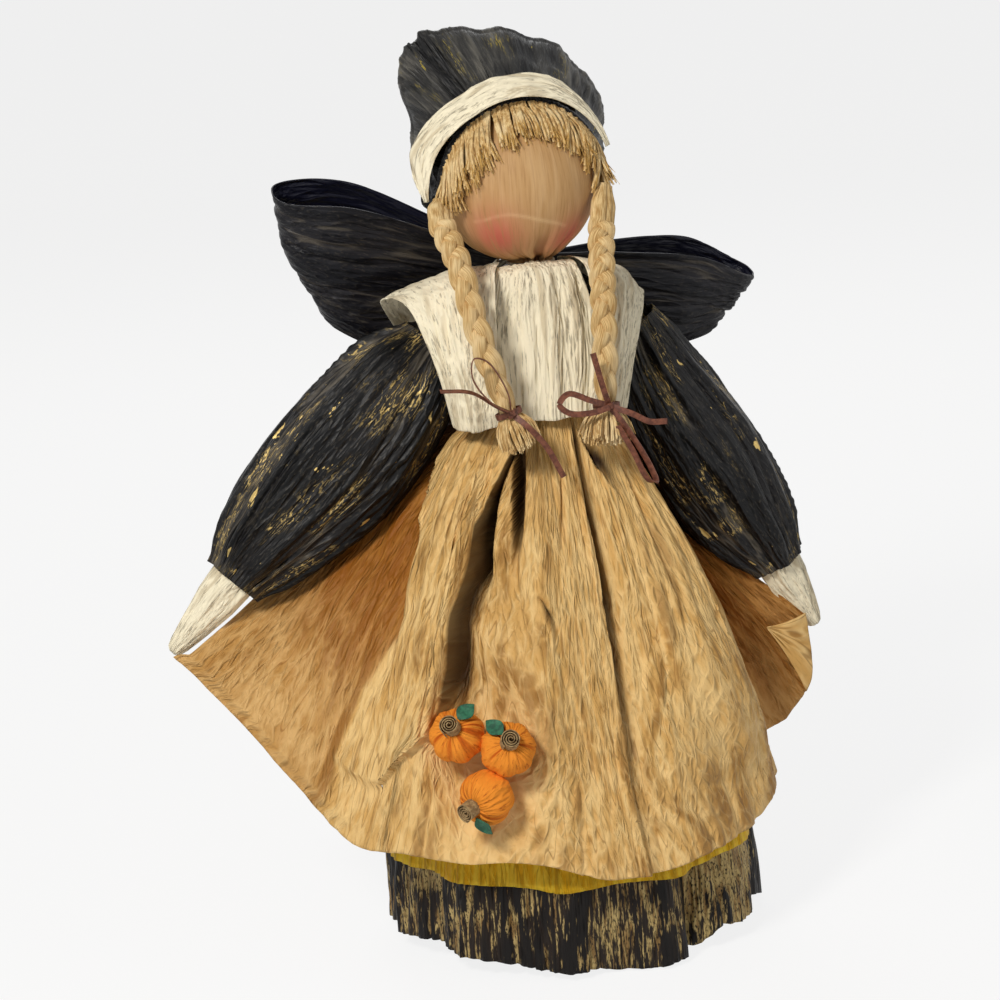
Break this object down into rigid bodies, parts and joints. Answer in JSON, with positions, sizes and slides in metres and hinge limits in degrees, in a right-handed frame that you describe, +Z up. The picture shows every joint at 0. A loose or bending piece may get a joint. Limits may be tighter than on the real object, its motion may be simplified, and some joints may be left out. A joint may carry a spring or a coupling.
{
  "type": "paper twist doll",
  "caption": "Standing faceless doll of crinkled twisted paper in a bonnet, plaits, puffed sleeves and layered skirts, holding out the corners of its apron.",
  "frame": {"origin": "centre of the flat base of the foam cone, on the floor", "axes": "+Z up, -Y to the front of the doll, -X to the doll's own right"},
  "size_m": [0.2984, 0.1895, 0.4008],
  "materials": {
    "black_paper": "crinkled black paper rubbed with gold",
    "tan_paper": "crinkled tan paper with a slight sheen",
    "cream_paper": "cream paper with grey streaks along the grain",
    "straw_paper": "twisted straw-coloured paper",
    "mustard_paper": "crinkled mustard paper",
    "face_paper": "smooth tan paper with blush on the cheeks",
    "brown_ribbon": "narrow woven ribbon, slightly glossy",
    "white_foam": "white expanded foam",
    "dowel_wood": "plain dowel",
    "bare_wire": "bare steel wire",
    "thread": "waxed thread",
    "orange_crepe": "orange crepe paper drawn over a ball",
    "green_leaf": "dark green paper",
    "rolled_stem": "rolled brown paper"
  },
  "bodies": {
    "torso": {"foam_cone": "white_foam", "neck_dowel": "dowel_wood", "bodice": "black_paper", "shoulder_wire": "bare_wire", "underskirt": "black_paper", "overskirt": "mustard_paper", "apron_front": "tan_paper", "apron_right_wing": "tan_paper", "apron_left_wing": "tan_paper", "waist_tie": "thread", "collar_bib": "cream_paper", "collar_right_lappet": "cream_paper", "collar_left_lappet": "cream_paper", "collar_back": "cream_paper", "bow_knot": "black_paper", "bow_right_loop": "black_paper", "bow_left_loop": "black_paper", "pumpkin_1": "orange_crepe", "pumpkin_stem_1": "rolled_stem", "pumpkin_leaf_1": "green_leaf", "pumpkin_2": "orange_crepe", "pumpkin_stem_2": "rolled_stem", "pumpkin_leaf_2": "green_leaf", "pumpkin_3": "orange_crepe", "pumpkin_stem_3": "rolled_stem", "pumpkin_leaf_3": "green_leaf"},
    "head": {"head_ball": "white_foam", "head_paper": "face_paper", "neck_tie": "thread", "fringe": "straw_paper", "bonnet_crown": "black_paper", "bonnet_band": "cream_paper"},
    "right_plait": {"right_braid": "straw_paper", "right_tuft": "straw_paper", "right_ribbon": "brown_ribbon"},
    "left_plait": {"left_braid": "straw_paper", "left_tuft": "straw_paper", "left_ribbon": "brown_ribbon"},
    "right_arm": {"right_sleeve": "black_paper", "right_hand": "cream_paper", "right_arm_wire": "bare_wire"},
    "left_arm": {"left_sleeve": "black_paper", "left_hand": "cream_paper", "left_arm_wire": "bare_wire"}
  },
  "joints": [
    {"name": "head_turn", "type": "hinge", "parent": "torso", "child": "head", "pos_m": [0, 0, 0.2974], "axis": [0, 0, 1], "range_deg": [-8, 8]},
    {"name": "right_plait_swing", "type": "hinge", "parent": "head", "child": "right_plait", "pos_m": [-0.0415, -0.014, 0.331], "axis": [-1, 0, 0], "range_deg": [0, 35]},
    {"name": "left_plait_swing", "type": "hinge", "parent": "head", "child": "left_plait", "pos_m": [0.0291, -0.0208, 0.332], "axis": [-1, 0, 0], "range_deg": [0, 35]},
    {"name": "right_arm_lift", "type": "hinge", "parent": "torso", "child": "right_arm", "pos_m": [-0.045, 0.0055, 0.267], "axis": [0, 1, 0], "range_deg": [-4, 10], "deforming": ["apron_right_wing"]},
    {"name": "left_arm_lift", "type": "hinge", "parent": "torso", "child": "left_arm", "pos_m": [0.045, 0.0055, 0.267], "axis": [0, -1, 0], "range_deg": [-4, 10], "deforming": ["apron_left_wing"]}
  ]
}
